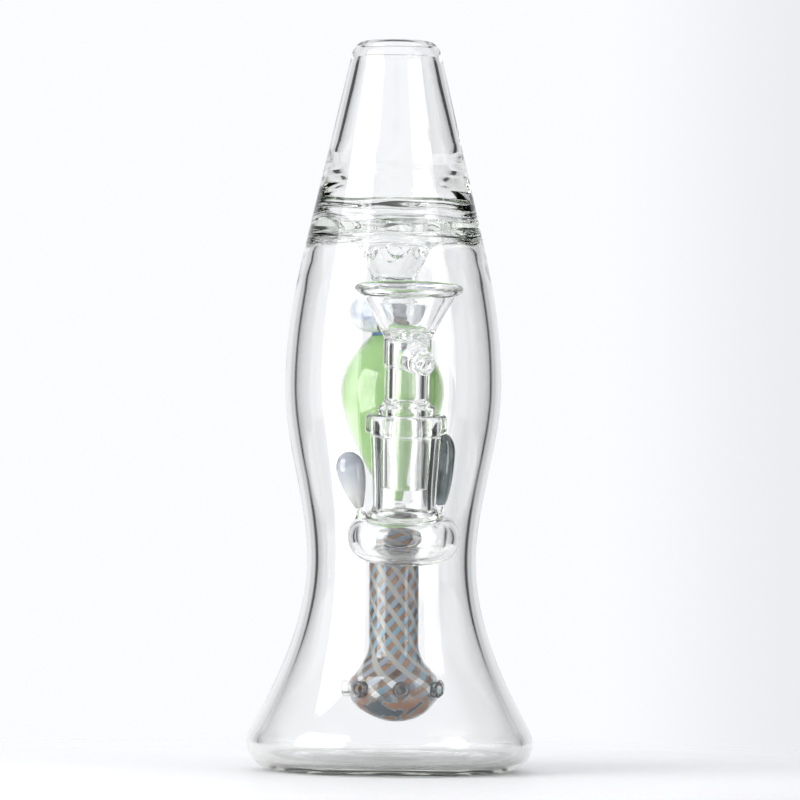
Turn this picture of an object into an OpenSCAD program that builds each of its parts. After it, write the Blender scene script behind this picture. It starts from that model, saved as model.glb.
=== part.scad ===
// Clear glass water pipe in the outline of a lava lamp.
// A hollow vessel stands on a flat ring, with a splash guard in its neck and an open mouth.
// A ground joint on a round bulb is welded to the front wall and carries a lift-out bowl.
// Origin: centre of the foot on the table. +Z up, and the ground joint stands on the -Y side.

/* [Vessel] */
// Overall height
total_h = 199.4; // [166:0.1:240]
// Largest outside radius, at the foot
foot_r = 39.1; // [33:0.1:47]
// Radius of the foot's rounded corner
foot_round = 7.8; // [6.5:0.1:9.4]
// Lean of the wall from upright where the foot's corner ends
flare_angle = 29.7; // [25:0.1:35]
// Outside radius of the waist
waist_r = 23.1; // [19.5:0.1:27.5]
// Height of the waist
waist_z = 57.5; // [48:0.5:62]
// Outside radius of the bulge
bulge_r = 29.6; // [27:0.1:35.5]
// Height of the bulge
bulge_z = 105; // [98:0.5:112]
// Outside radius where the straight taper to the mouth begins
neck_r = 24.9; // [21:0.1:27]
// Height where the straight taper to the mouth begins
neck_z = 142; // [136:0.5:144]
// Thickness of the vessel's wall and foot
wall = 3; // [2.4:0.1:3.6]
// Width of the flat ring that the vessel stands on
foot_ring_w = 7.3; // [5:0.1:9]
// How far the middle of the floor is pushed up
punt_h = 2; // [0.5:0.1:3]

/* [Neck and mouth] */
// Height of the seam between the vessel and the thick weld ring
seam_z = 149; // [147.5:0.5:154]
// Height of the thick weld ring
ring_h = 7; // [5:0.5:9]
// Radial thickness of the weld ring
ring_w = 6.2; // [4.5:0.1:7.5]
// Thickness of the guard disc
guard_t = 3; // [2:0.1:3.6]
// Outside radius of the splash funnel where it hangs from the disc
funnel_r = 12.9; // [10.8:0.1:15]
// Outside radius of the funnel's spout
spout_r = 6.2; // [5.2:0.1:7.4]
// Height of the funnel's cone
funnel_h = 11; // [9:0.1:13]
// Length of the funnel's spout under the cone
spout_h = 3; // [1:0.1:3.5]
// Wall of the splash funnel
funnel_wall = 1.8; // [1.4:0.1:2.2]
// Number of holes around the funnel
funnel_holes = 6; // [4:1:8]
// Radius of each hole around the funnel
funnel_hole_r = 2.5; // [2:0.1:3]
// Radius of the drain hole in the spout
drain_r = 1.3; // [0.8:0.1:2]
// Wall of the mouthpiece
cap_wall = 2.7; // [2.2:0.1:3.3]
// Height of the inner ridge above the weld ring
ridge_h = 11; // [9:0.5:13]
// How far the inner ridge stands in from the wall
ridge_w = 2.8; // [1.5:0.1:3.4]
// Outside radius just under the mouth's rounded shoulder
mouth_r = 12.6; // [12.1:0.1:15]
// Radius of the open bore at the mouth
bore_r = 8.9; // [7.5:0.1:9.3]
// Length of the straight bore at the mouth
bore_h = 2.8; // [2.4:0.1:3.4]
// Height of the mouth's rounded shoulder
shoulder_h = 4.5; // [4.2:0.1:5.4]

/* [Ground joint] */
// Height of the bulb's centre
joint_z = 63.8; // [60:0.1:68]
// Lean of the joint away from the vessel
joint_tilt = 8; // [5:0.5:10]
// Outside radius of the round bulb
bulb_r = 14.9; // [13.2:0.1:17.9]
// Half height of the bulb, which is the radius of its rounded side
bulb_round = 6.5; // [6:0.1:7.2]
// Wall of the bulb
bulb_wall = 1.8; // [1.5:0.1:2.1]
// How far the bulb is pressed into the vessel's wall
weld_bite = 1.6; // [1.2:0.1:2.2]
// Radius of the hole from the bulb into the vessel
port_r = 3.6; // [3:0.1:4]
// Radius of the ground taper at the top of the socket
taper_r = 7.25; // [6.1:0.05:8.7]
// Length of the ground taper
taper_len = 20; // [17:0.5:24]
// Loss of radius per millimetre down the ground taper
taper_slope = 0.05; // [0.04:0.005:0.06]
// Height of the socket's top above the bulb's centre, along the joint
socket_h = 32.9; // [31:0.1:36]
// Wall of the socket outside the ground taper
socket_wall = 2.1; // [1.8:0.1:2.5]
// Thickness of the bead around the socket's top
lip_w = 1.4; // [1:0.1:1.8]
// Height of the bead around the socket's top
lip_h = 5.4; // [4.5:0.1:6.3]
// Radial gap of the bowl's taper in the socket
joint_gap = 0.05; // [0.02:0.01:0.08]

/* [Bowl] */
// Gap between the socket's top and the bowl's shoulder
bowl_stop_gap = 0.2; // [0.1:0.05:0.4]
// Wall of the bowl's tubes
bowl_wall = 2; // [1.7:0.1:2.3]
// Height of the shoulder above the ground taper
shoulder_len = 3; // [2.5:0.1:3.6]
// Outside radius of the stem
stem_r = 5.95; // [5.3:0.05:6.3]
// Length of the stem
stem_len = 8.9; // [7.5:0.1:10.6]
// Outside radius of the collar that carries the handle
collar_r = 6.35; // [6.2:0.05:7.2]
// Length of the collar
collar_len = 8.2; // [7.6:0.1:9.8]
// Outside radius of the cup at its rim
cup_r = 14.3; // [12:0.1:17.1]
// Depth of the cup
cup_h = 14; // [11.7:0.1:16.8]
// Wall of the cup
cup_wall = 1.9; // [1.6:0.1:2.2]
// Radius of the hole in the cup's floor
cup_hole_r = 1.7; // [1.2:0.1:2.2]
// Radius of the rounded bead on the rim
bead_r = 1.1; // [1:0.05:1.3]
// Reach of the handle from the bowl's centre line
handle_reach = 12; // [10:0.1:14.4]
// Radius of the handle where it leaves the collar
handle_base_r = 3.5; // [3:0.1:3.7]
// Radius of the handle at its open end
handle_end_r = 2.75; // [2.4:0.05:3]
// Radius of the handle's open end bore
handle_bore_r = 1.7; // [1.4:0.1:2]
// Turn of the handle around the bowl, away from straight ahead
handle_turn = 20; // [0:1:45]

/* [Downstem] */
// Distance of the downstem in front of the vessel's axis
downstem_y = 8; // [5:0.1:10]
// Outside radius of the downstem and the cross tube
downstem_r = 6.7; // [5.8:0.1:7.2]
// Wall of the downstem and the cross tube
downstem_wall = 1.9; // [1.6:0.1:2.2]
// Height of the seam between the downstem and the diffuser
diffuser_top = 34; // [31:0.5:37]
// Largest radius of the diffuser
diffuser_r = 12.3; // [10.3:0.1:14.7]
// Height of the diffuser's widest ring
diffuser_z = 22.2; // [21:0.1:24]
// Height of the diffuser's lowest point
diffuser_bottom = 13.1; // [11:0.1:14.5]
// Number of nibs around the diffuser
nib_count = 7; // [5:1:8]
// Outside radius of each nib
nib_r = 2.3; // [1.9:0.05:2.6]
// Radius of each nib's hole
nib_hole_r = 1.1; // [0.8:0.05:1.4]
// How far each nib stands out of the diffuser
nib_out = 1.7; // [1:0.1:2.2]
// Turn of the first nib from straight ahead
nib_turn = 4; // [0:1:50]

/* [Sculpture] */
// Distance of the sculpture behind the vessel's axis
drop_y = 3; // [1:0.1:4]
// Largest radius of the green drop
drop_r = 14.4; // [12:0.1:16.5]
// Height of the green drop's widest ring
drop_z = 103.8; // [101:0.1:106]
// Height of the seam between the clear foot and the green drop
drop_bottom = 75; // [74:0.5:79]
// Height of the green drop's top
drop_top = 118.8; // [117:0.1:119.5]
// Radius of the drop's lower end
tail_r = 2.5; // [2:0.1:3]
// Radius of the drop's upper end
drop_neck_r = 6.1; // [5:0.1:7.3]
// Height of the blue collar
blue_h = 0.8; // [0.6:0.1:1.2]
// Radius of the flattened marble
marble_r = 12.2; // [10.2:0.1:14.6]
// Half height of the marble, which is the radius of its rounded side
marble_round = 5.7; // [4.8:0.1:6.1]
// Radius of the coloured core at the marble's foot
core_r = 4.6; // [3.8:0.1:5.5]
// Height of the coloured core
core_h = 5; // [4:0.1:6]

/* [Horns] */
// Largest radius of the left horn
left_horn_r = 3.6; // [3:0.1:4.3]
// Largest radius of the right horn
right_horn_r = 3.3; // [2.8:0.1:3.9]
// Length of the left horn
left_horn_len = 15.6; // [13:0.1:18.7]
// Length of the right horn
right_horn_len = 19.5; // [16.3:0.1:20]
// Place of the left horn around the joint, from the +X side
left_horn_turn = 180; // [170:1:200]
// Place of the right horn around the joint, from the +X side
right_horn_turn = 35; // [30:1:40]
// Gap between the left horn and the socket
left_horn_gap = 1.7; // [1.5:0.1:2.2]
// Gap between the right horn and the socket
right_horn_gap = 0.4; // [0.4:0.1:0.8]
// Outward lean of the left horn
left_horn_lean = 14; // [10:0.5:16]
// Outward lean of the right horn
right_horn_lean = 3; // [2:0.5:5]
// Radius of each horn's lower tip
horn_tip_r = 1; // [0.8:0.05:1.3]

/* [Hidden] */
$fn = 96;

glass = [0.86, 0.92, 0.90, 0.45];
through = 60;
foot_c = foot_r - foot_round;
flare_top = [foot_c + foot_round * cos(flare_angle), foot_round * (1 + sin(flare_angle))];
shoulder_z = total_h - shoulder_h;
mouth_slope = (mouth_r - neck_r) / (shoulder_z - neck_z);
cone_stretch = sqrt(1 + mouth_slope * mouth_slope);

// Cubic from point a to point b of an outline that has radius as x and height as y.
// sa and sb are the changes of radius with height at its two ends.
function cubic(a, sa, b, sb, z) =
    let (h = b.y - a.y, t = (z - a.y) / h)
    (2 * pow(t, 3) - 3 * pow(t, 2) + 1) * a.x + (pow(t, 3) - 2 * pow(t, 2) + t) * h * sa
    + (3 * pow(t, 2) - 2 * pow(t, 3)) * b.x + (pow(t, 3) - pow(t, 2)) * h * sb;

// Outside radius of the vessel at a height above the foot's corner.
function vessel_r(z) =
    z < waist_z ? cubic(flare_top, -tan(flare_angle), [waist_r, waist_z], 0, z)
    : z < bulge_z ? cubic([waist_r, waist_z], 0, [bulge_r, bulge_z], 0, z)
    : z < neck_z ? cubic([bulge_r, bulge_z], 0, [neck_r, neck_z], mouth_slope, z)
    : neck_r + mouth_slope * (z - neck_z);

// Change of the outside radius with height.
function vessel_slope(z) = (vessel_r(z + 0.01) - vessel_r(z - 0.01)) / 0.02;

// A point as far inside the vessel's outline as a wall is thick.
function inside_point(z, t) =
    let (s = vessel_slope(z), k = t / sqrt(1 + s * s))
    [vessel_r(z) - k, z + k * s];

// Radius of the inner wall where the outline is straight.
function cone_inner_r(z, t) = vessel_r(z) - t * cone_stretch;

function arc(c, r, a0, a1, n) = [for (i = [0:n]) let (a = a0 + (a1 - a0) * i / n) c + r * [cos(a), sin(a)]];
function steps(a, b, n) = [for (i = [0:n]) a + (b - a) * i / n];
function reversed(list) = [for (i = [len(list) - 1:-1:0]) list[i]];

foot_heights = [for (i = [1:8]) flare_top.y + (waist_z - flare_top.y) * i / 8];
body_heights = [for (i = [1:8]) waist_z + (bulge_z - waist_z) * i / 8];
shoulder_heights = [for (i = [1:5]) bulge_z + (neck_z - bulge_z) * i / 5];
foot_centre = [foot_c, foot_round];

// Outer and inner outlines of the vessel's three blown lengths, from the bottom up.
function outer_side(heights) = [for (z = heights) [vessel_r(z), z]];
function inner_side(heights) = [for (z = heights) inside_point(z, wall)];
foot_outer = concat(arc(foot_centre, foot_round, -90, flare_angle, 9), outer_side(foot_heights));
foot_inner = concat(arc(foot_centre, foot_round - wall, -90, flare_angle, 7), inner_side(foot_heights));
body_outer = concat([[waist_r, waist_z]], outer_side(body_heights));
body_inner = concat([[waist_r - wall, waist_z]], inner_side(body_heights));
shoulder_outer = concat([[bulge_r, bulge_z]], outer_side(shoulder_heights), [[vessel_r(seam_z), seam_z]]);
shoulder_inner = concat([[bulge_r - wall, bulge_z]], inner_side(shoulder_heights),
    [[cone_inner_r(seam_z, wall), seam_z]]);

// The whole outlines, without the points that two lengths share.
function tail(list) = [for (i = [1:len(list) - 1]) list[i]];
cavity_outline = concat(foot_inner, tail(body_inner), tail(shoulder_inner));
vessel_outline = concat(foot_outer, tail(body_outer), tail(shoulder_outer));

joint_y = -(vessel_r(joint_z) + bulb_r - weld_bite);
bulb_c = bulb_r - bulb_round;
tube_r = taper_r - taper_slope * taper_len;
socket_r = taper_r + socket_wall;
neck_top = bulb_round + 1.5;
function taper_at(h) = taper_r - taper_slope * (socket_h - h);

port_len = vessel_r(joint_z) + downstem_r + 6;

ring_top = seam_z + ring_h;
guard_z = seam_z - guard_t;
funnel_bottom = guard_z - funnel_h - spout_h;
lip_z = shoulder_z - 3;
lip_round = 0.8;

// Puts a piece on the joint's own axis, with its height counted from the bulb's centre.
module at_joint() {
    translate([0, joint_y, joint_z]) rotate([joint_tilt, 0, 0]) children();
}

// A ring turned from an outline of inner and outer points.
module turned(outline) {
    rotate_extrude() polygon(outline);
}

// The round hole that joins the bulb to the vessel.
module port() {
    translate([0, joint_y + bulb_c, joint_z]) rotate([-90, 0, 0]) cylinder(r = port_r, h = port_len);
}

// Everything inside the vessel's outside surface, up to the seam.
module vessel_solid() {
    turned(concat([[0, 0]], vessel_outline, [[0, seam_z]]));
}

// Outside of the bulb, from its underside to the seam with the joint's tube.
bulb_outline = concat([[0, -bulb_round]], arc([bulb_c, 0], bulb_round, -90, 72, 12),
    [[tube_r + socket_wall, neck_top]]);

module bulb_solid() {
    at_joint() turned(concat(bulb_outline, [[0, neck_top]]));
}

// The foot ring's flat underside and the raised floor inside it.
module base_plate() {
    ring_in = foot_c - foot_ring_w;
    underside = [[0, punt_h], [ring_in * 0.55, punt_h * 0.85], [ring_in * 0.9, punt_h * 0.25],
        [ring_in, 0], [foot_c, 0]];
    floor = [[foot_c, wall], [ring_in * 0.9, wall + punt_h * 0.1], [ring_in * 0.45, wall + punt_h * 0.8],
        [0, wall + punt_h]];
    color(glass) turned(concat(underside, floor));
}

module foot_shell() {
    color(glass) difference() {
        turned(concat(foot_outer, reversed(foot_inner)));
        port();
    }
}

module body_shell() {
    color(glass) difference() {
        turned(concat(body_outer, reversed(body_inner)));
        port();
    }
}

module shoulder_shell() {
    color(glass) turned(concat(shoulder_outer, reversed(shoulder_inner)));
}

module guard_disc() {
    opening = funnel_r - funnel_wall;
    edge = 1;
    color(glass) turned([[opening, guard_z], [cone_inner_r(guard_z, wall), guard_z],
        [cone_inner_r(seam_z, wall), seam_z], [opening + edge, seam_z], [opening, seam_z - edge]]);
}

module splash_funnel() {
    cone_bottom = guard_z - funnel_h;
    drop = funnel_r - spout_r;
    lean = atan(drop / funnel_h);
    hole_at = 0.4;
    edge = 1;
    outside = [[drain_r, funnel_bottom], [spout_r - edge, funnel_bottom],
        [spout_r, funnel_bottom + edge], [spout_r, cone_bottom], [funnel_r, guard_z]];
    inside = [[funnel_r - funnel_wall, guard_z], [spout_r - funnel_wall, cone_bottom],
        [spout_r - funnel_wall, funnel_bottom + funnel_wall], [drain_r, funnel_bottom + funnel_wall]];
    color(glass) difference() {
        turned(concat(outside, inside));
        for (i = [0:funnel_holes - 1]) {
            rotate([0, 0, 360 * (i + 0.5) / funnel_holes])
                translate([funnel_r - drop * hole_at, 0, guard_z - funnel_h * hole_at])
                rotate([0, 90 + lean, 0])
                cylinder(r = funnel_hole_r, h = 4 * funnel_wall, center = true);
        }
    }
}

// The thick ring where the cap is welded on, rounded on its inner side.
module neck_ring() {
    inner = vessel_r(seam_z) - ring_w;
    round = ring_h / 2;
    color(glass) turned(concat(arc([inner + round, seam_z + round], round, 270, 90, 10),
        [[vessel_r(ring_top), ring_top], [vessel_r(seam_z), seam_z]]));
}

// The ridge of glass that the weld left inside the cap, highest at its peak.
module neck_ridge() {
    peak_z = ring_top + ridge_h * 0.6;
    wall_r = cone_inner_r(peak_z, cap_wall);
    color(glass) turned([[cone_inner_r(ring_top, cap_wall), ring_top],
        [wall_r - ridge_w * 0.55, peak_z - 2],
        [wall_r - ridge_w, peak_z],
        [wall_r - ridge_w * 0.7, peak_z + 1],
        [cone_inner_r(ring_top + ridge_h, cap_wall), ring_top + ridge_h]]);
}

module mouthpiece() {
    color(glass) turned([[cone_inner_r(ring_top, cap_wall), ring_top], [vessel_r(ring_top), ring_top],
        [vessel_r(lip_z), lip_z], [cone_inner_r(lip_z, cap_wall), lip_z]]);
}

// The lip's rounded edge, from the bore over the top to the shoulder outside.
lip_edge = let (crown = bore_r + 0.9, run = mouth_r - crown)
    concat([for (a = [0:18:90])
            [crown + run * pow(cos(a), 1.35), shoulder_z + shoulder_h * pow(sin(a), 1.15)]],
        [[bore_r + 0.3, total_h - 0.2], [bore_r, total_h - lip_round]]);

module mouth_lip() {
    inner = cone_inner_r(lip_z, cap_wall);
    bore_low = total_h - lip_round - bore_h;
    color(glass) turned(concat([[inner, lip_z], [vessel_r(lip_z), lip_z]], lip_edge,
        [[bore_r, bore_low], [(bore_r + inner) / 2, bore_low - 1]]));
}

module joint_bulb() {
    inner_round = bulb_round - bulb_wall;
    inside = concat([[tube_r, neck_top], [tube_r, inner_round + 0.6]],
        arc([bulb_c, 0], inner_round, 78, -90, 9), [[0, -inner_round]]);
    color(glass) difference() {
        at_joint() turned(concat(bulb_outline, inside));
        vessel_solid();
        port();
    }
}

module wall_weld() {
    weld_r = bulb_round * 0.9;
    reach = 3.2;
    color(glass) difference() {
        translate([0, -vessel_r(joint_z) - reach, joint_z])
            rotate([-90, 0, 0]) cylinder(r = weld_r, h = reach + 1);
        vessel_solid();
        bulb_solid();
    }
}

module joint_tube() {
    color(glass) at_joint() turned([[tube_r, neck_top], [tube_r + socket_wall, neck_top],
        [socket_r, socket_h - lip_h - 1], [socket_r, socket_h], [taper_r, socket_h],
        [tube_r, socket_h - taper_len]]);
}

module joint_lip() {
    corner = lip_w * 0.6;
    low = socket_h - lip_h;
    edge_r = socket_r + lip_w;
    color(glass) at_joint() turned([[socket_r, low], [edge_r - corner, low], [edge_r, low + corner],
        [edge_r, socket_h - corner], [edge_r - corner, socket_h], [socket_r, socket_h]]);
}

// The vessel's hollow, which trims the cross tube to the inner wall.
module cavity() {
    turned(concat([[0, wall]], cavity_outline, [[0, seam_z]]));
}

// The outside of the cross tube, from the front wall to its round closed end.
module cross_tube_solid(r) {
    translate([0, drop_y, joint_z]) sphere(r = r);
    translate([0, drop_y, joint_z]) rotate([90, 0, 0]) cylinder(r = r, h = through - drop_y);
}

module cross_tube() {
    bore = downstem_r - downstem_wall;
    color([0.62, 0.74, 0.80]) intersection() {
        cavity();
        difference() {
            cross_tube_solid(downstem_r);
            cross_tube_solid(bore);
            translate([0, -downstem_y, joint_z - 2 * downstem_r]) cylinder(r = bore, h = 2 * downstem_r);
        }
    }
}

module downstem() {
    color([0.55, 0.68, 0.74]) difference() {
        translate([0, -downstem_y, diffuser_top]) cylinder(r = downstem_r, h = joint_z - diffuser_top);
        translate([0, -downstem_y, diffuser_top - 1]) cylinder(r = downstem_r - downstem_wall, h = joint_z);
        cross_tube_solid(downstem_r);
    }
}

// Half outline of the diffuser: a flare from the downstem, a short straight belt that carries
// the nibs, and a round pointed underside.
belt = nib_r + 0.4;
diffuser_side = concat(
    [for (t = steps(0, 1, 7)) let (z = diffuser_top + (diffuser_z + belt - diffuser_top) * t)
        [downstem_r + (diffuser_r - downstem_r) * pow(t, 1.8), z]],
    [for (a = [0:15:90]) [diffuser_r * cos(a),
        diffuser_z - belt - (diffuser_z - belt - diffuser_bottom) * sin(a)]]);
diffuser_floor = diffuser_bottom + downstem_wall;
diffuser_core = concat(
    [for (p = diffuser_side) if (p.x > downstem_wall + 1) [p.x - downstem_wall, max(p.y, diffuser_floor)]],
    [[0, diffuser_floor]]);

// Places a piece at each nib, pointing outwards.
module at_nibs() {
    for (i = [0:nib_count - 1]) {
        translate([0, -downstem_y, diffuser_z])
            rotate([90, 0, nib_turn + 360 * i / nib_count]) children();
    }
}

module diffuser_ball() {
    inside = diffuser_r - downstem_wall - 2;
    color([0.62, 0.52, 0.46]) difference() {
        translate([0, -downstem_y, 0]) turned(concat(diffuser_side, reversed(diffuser_core)));
        at_nibs() translate([0, 0, inside]) cylinder(r = nib_r, h = 8);
    }
}

module diffuser_nibs() {
    start = diffuser_r - downstem_wall - 0.5;
    color(glass) at_nibs() difference() {
        translate([0, 0, start]) cylinder(r = nib_r, h = diffuser_r + nib_out - start);
        cylinder(r = nib_hole_r, h = through / 2);
    }
}

module drop_foot() {
    foot_r = tail_r + 1.8;
    top = joint_z + downstem_r;
    color(glass) difference() {
        translate([0, drop_y, 0]) turned([[0, joint_z], [foot_r, joint_z], [foot_r, top - 0.5],
            [tail_r + 0.8, top + 1.2], [tail_r, drop_bottom], [0, drop_bottom]]);
        cross_tube_solid(downstem_r);
    }
}

// The drop swells from its tail to its widest ring and draws in again to its neck.
drop_low = [for (t = steps(0, 1, 9)) let (rise = 1 - pow(1 - pow(t, 1.15), 1.75))
    [tail_r + (drop_r - tail_r) * rise, drop_bottom + (drop_z - drop_bottom) * t]];
drop_high = [for (t = steps(0.14, 1, 6))
    [drop_neck_r + (drop_r - drop_neck_r) * (1 - pow(t, 2)), drop_z + (drop_top - drop_z) * t]];

module green_drop() {
    color([0.60, 0.80, 0.50]) translate([0, drop_y, 0])
        turned(concat([[0, drop_bottom]], drop_low, drop_high, [[0, drop_top]]));
}

module blue_collar() {
    color([0.15, 0.45, 0.75]) translate([0, drop_y, drop_top])
        turned([[0, 0], [drop_neck_r, 0], [drop_neck_r + 0.2, blue_h / 2], [drop_neck_r, blue_h],
            [0, blue_h]]);
}

marble_outline = let (c = marble_r - marble_round)
    concat(arc([c, marble_round], marble_round, -90, 90, 12), [[0, 2 * marble_round + 0.2]]);
core_outline = [[0, 0], [core_r, 0], [core_r, core_h * 0.6], [core_r * 0.6, core_h], [0, core_h]];

module marble_core() {
    color([0.55, 0.45, 0.25]) translate([0, drop_y, drop_top + blue_h]) turned(core_outline);
}

module top_marble() {
    color([0.75, 0.82, 0.90, 0.6]) translate([0, drop_y, drop_top + blue_h]) difference() {
        turned(concat([[0, 0]], marble_outline));
        turned(core_outline);
    }
}

// A teardrop of length len and largest radius r, with its tip down.
// A fullness under 1 makes its lower half plumper.
widest_at = 0.72;
function horn_outline(len, r, fullness) = concat([[0, 0], [horn_tip_r, 0]],
    [for (t = steps(0.12, widest_at, 6))
        [horn_tip_r + (r - horn_tip_r) * pow(sin(90 * t / widest_at), fullness), len * t]],
    [for (a = [20:20:80]) [r * cos(a), len * (widest_at + (1 - widest_at) * sin(a))]], [[0, len]]);

horn_foot_h = 2.2;
horn_base_z = bulb_round - 1.2;

// Distance of a horn's foot from the joint's centre line that leaves the gap at its widest ring.
function horn_ring(len, r, gap, lean) =
    socket_r + gap + r - (horn_foot_h + len * widest_at) * tan(lean);

module at_left_horn() {
    ring = horn_ring(left_horn_len, left_horn_r, left_horn_gap, left_horn_lean);
    at_joint() rotate([0, 0, left_horn_turn]) translate([ring, 0, horn_base_z])
        rotate([0, left_horn_lean, 0]) children();
}

module at_right_horn() {
    ring = horn_ring(right_horn_len, right_horn_r, right_horn_gap, right_horn_lean);
    at_joint() rotate([0, 0, right_horn_turn]) translate([ring, 0, horn_base_z])
        rotate([0, right_horn_lean, 0]) children();
}

// The clear foot that holds a horn on the bulb, sunk into it before the bulb is cut away.
module horn_foot() {
    sunk = 3;
    translate([0, 0, -sunk]) cylinder(r1 = 2.2, r2 = horn_tip_r, h = horn_foot_h + sunk);
}

module left_horn() {
    color([0.66, 0.70, 0.74]) at_left_horn() translate([0, 0, horn_foot_h])
        turned(horn_outline(left_horn_len, left_horn_r, 1));
}

module left_horn_foot() {
    color(glass) difference() {
        at_left_horn() horn_foot();
        bulb_solid();
    }
}

module right_horn() {
    color([0.42, 0.48, 0.48]) at_right_horn() translate([0, 0, horn_foot_h])
        turned(horn_outline(right_horn_len, right_horn_r, 0.5));
}

module right_horn_foot() {
    color(glass) difference() {
        at_right_horn() horn_foot();
        bulb_solid();
    }
}

bowl_z = socket_h + bowl_stop_gap;
stem_z = bowl_z + shoulder_len;
collar_z = stem_z + stem_len;
cup_z = collar_z + collar_len;

module bowl_taper() {
    low = bowl_z - taper_len;
    low_r = taper_at(low) - joint_gap;
    color(glass) at_joint() turned([[low_r - bowl_wall, low], [low_r, low],
        [taper_at(bowl_z) - joint_gap, bowl_z], [stem_r - bowl_wall, bowl_z]]);
}

module bowl_shoulder() {
    color(glass) at_joint() turned([[stem_r - bowl_wall, bowl_z], [taper_r - joint_gap, bowl_z],
        [taper_r + 0.3, bowl_z + shoulder_len * 0.3], [taper_r, bowl_z + shoulder_len * 0.6],
        [stem_r + 0.3, bowl_z + shoulder_len * 0.9], [stem_r, stem_z], [stem_r - bowl_wall, stem_z]]);
}

module bowl_stem() {
    color(glass) at_joint() turned([[stem_r - bowl_wall, stem_z], [stem_r, stem_z], [stem_r, collar_z],
        [stem_r - bowl_wall, collar_z]]);
}

// The handle's centre line, square to the bowl and a little below level.
module at_handle() {
    at_joint() translate([0, 0, collar_z + collar_len * 0.5]) rotate([96, 0, handle_turn]) children();
}

module bowl_collar() {
    color(glass) at_joint() turned([[stem_r - bowl_wall, collar_z], [stem_r, collar_z],
        [collar_r, collar_z + 0.5], [collar_r, cup_z], [stem_r - bowl_wall, cup_z]]);
}

module bowl_handle() {
    color(glass) difference() {
        at_handle() cylinder(r1 = handle_base_r + 0.6, r2 = handle_end_r, h = handle_reach);
        at_handle() translate([0, 0, collar_r + 1.5]) cylinder(r = handle_bore_r, h = handle_reach);
        at_joint() cylinder(r = collar_r, h = cup_z + 1);
    }
}

// The cup's outside is a plain cone, its wall even down to a flat floor with one hole.
module bowl_cup() {
    floor_z = cup_z + 2;
    floor_t = 1.2;
    rim_z = cup_z + cup_h - bead_r;
    rim_r = cup_r - 0.3;
    spread = (rim_r - collar_r) / (rim_z - cup_z);
    floor_r = collar_r + spread * (floor_z - cup_z) - cup_wall;
    outside = [[cup_hole_r, floor_z - floor_t], [stem_r - bowl_wall, cup_z], [collar_r, cup_z],
        [rim_r, rim_z]];
    inside = [[rim_r - cup_wall, rim_z], [floor_r + spread, floor_z + 1], [floor_r - 0.5, floor_z],
        [cup_hole_r, floor_z]];
    color(glass) at_joint() turned(concat(outside, inside));
}

module bowl_rim() {
    low = cup_z + cup_h - bead_r;
    rim_r = cup_r - 0.3;
    color(glass) at_joint() turned(concat([[rim_r - cup_wall, low], [rim_r, low]],
        arc([cup_r - bead_r, low + 0.1], bead_r, 0, 180, 8)));
}

base_plate();
foot_shell();
body_shell();
shoulder_shell();
guard_disc();
splash_funnel();
neck_ring();
neck_ridge();
mouthpiece();
mouth_lip();
wall_weld();
joint_bulb();
joint_tube();
joint_lip();
cross_tube();
downstem();
diffuser_ball();
diffuser_nibs();
drop_foot();
green_drop();
blue_collar();
marble_core();
top_marble();
left_horn();
left_horn_foot();
right_horn();
right_horn_foot();
bowl_taper();
bowl_shoulder();
bowl_stem();
bowl_collar();
bowl_cup();
bowl_rim();
bowl_handle();
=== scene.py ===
import math
import bmesh
import bpy
from mathutils import Matrix, Vector


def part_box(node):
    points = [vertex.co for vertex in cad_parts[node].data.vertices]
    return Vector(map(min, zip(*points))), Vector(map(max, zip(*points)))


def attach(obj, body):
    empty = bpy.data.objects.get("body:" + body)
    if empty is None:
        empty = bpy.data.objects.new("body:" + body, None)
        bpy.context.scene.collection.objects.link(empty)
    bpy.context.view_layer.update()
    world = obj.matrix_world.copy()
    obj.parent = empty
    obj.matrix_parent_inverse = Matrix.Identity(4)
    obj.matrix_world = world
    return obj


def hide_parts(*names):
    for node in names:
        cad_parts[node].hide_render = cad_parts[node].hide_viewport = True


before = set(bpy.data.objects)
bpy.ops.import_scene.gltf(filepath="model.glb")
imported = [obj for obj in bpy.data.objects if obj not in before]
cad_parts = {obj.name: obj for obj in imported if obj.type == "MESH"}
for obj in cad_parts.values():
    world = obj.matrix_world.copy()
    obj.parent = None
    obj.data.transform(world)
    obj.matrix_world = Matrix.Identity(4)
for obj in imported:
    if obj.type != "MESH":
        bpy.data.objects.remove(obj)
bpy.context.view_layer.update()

# ---------------------------------------------------------------- sizes, in millimetres

MM = 0.001


def node_box(name):
    """Lowest and highest corner of a CAD node, in millimetres."""
    lo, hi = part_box(name)
    return Vector(lo) / MM, Vector(hi) / MM


# The vessel, from the foot to the mouth. A pair is (radius, height).
FOOT_R = min(-node_box("foot_shell")[0].x, node_box("foot_shell")[1].x, node_box("foot_shell")[1].y)
SEAM_Z = node_box("shoulder_shell")[1].z
TOP_Z = node_box("mouth_lip")[1].z
LIP_Z = node_box("mouth_lip")[0].z
RING_R = node_box("neck_ring")[1].x
GUARD_Z = node_box("guard_disc")[0].z
FUNNEL_R = node_box("splash_funnel")[1].x
FUNNEL_BOTTOM = node_box("splash_funnel")[0].z
FOOT_ROUND = 7.8
FLARE_ANGLE = 29.7
WAIST = (23.1, 57.5)
BULGE = (29.6, 105.0)
NECK = (24.9, 142.0)
WALL = 3.0
CAP_WALL = 2.7
PUNT = 2.0
FOOT_RING_W = 7.3
SHOULDER = (12.6, TOP_Z - 4.5)
BORE_R = 8.9
SPOUT_R = 6.2
CONE_BOTTOM = FUNNEL_BOTTOM + 3.0
FUNNEL_WALL = 1.8
DRAIN_R = 1.3
HOLES = 6

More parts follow.
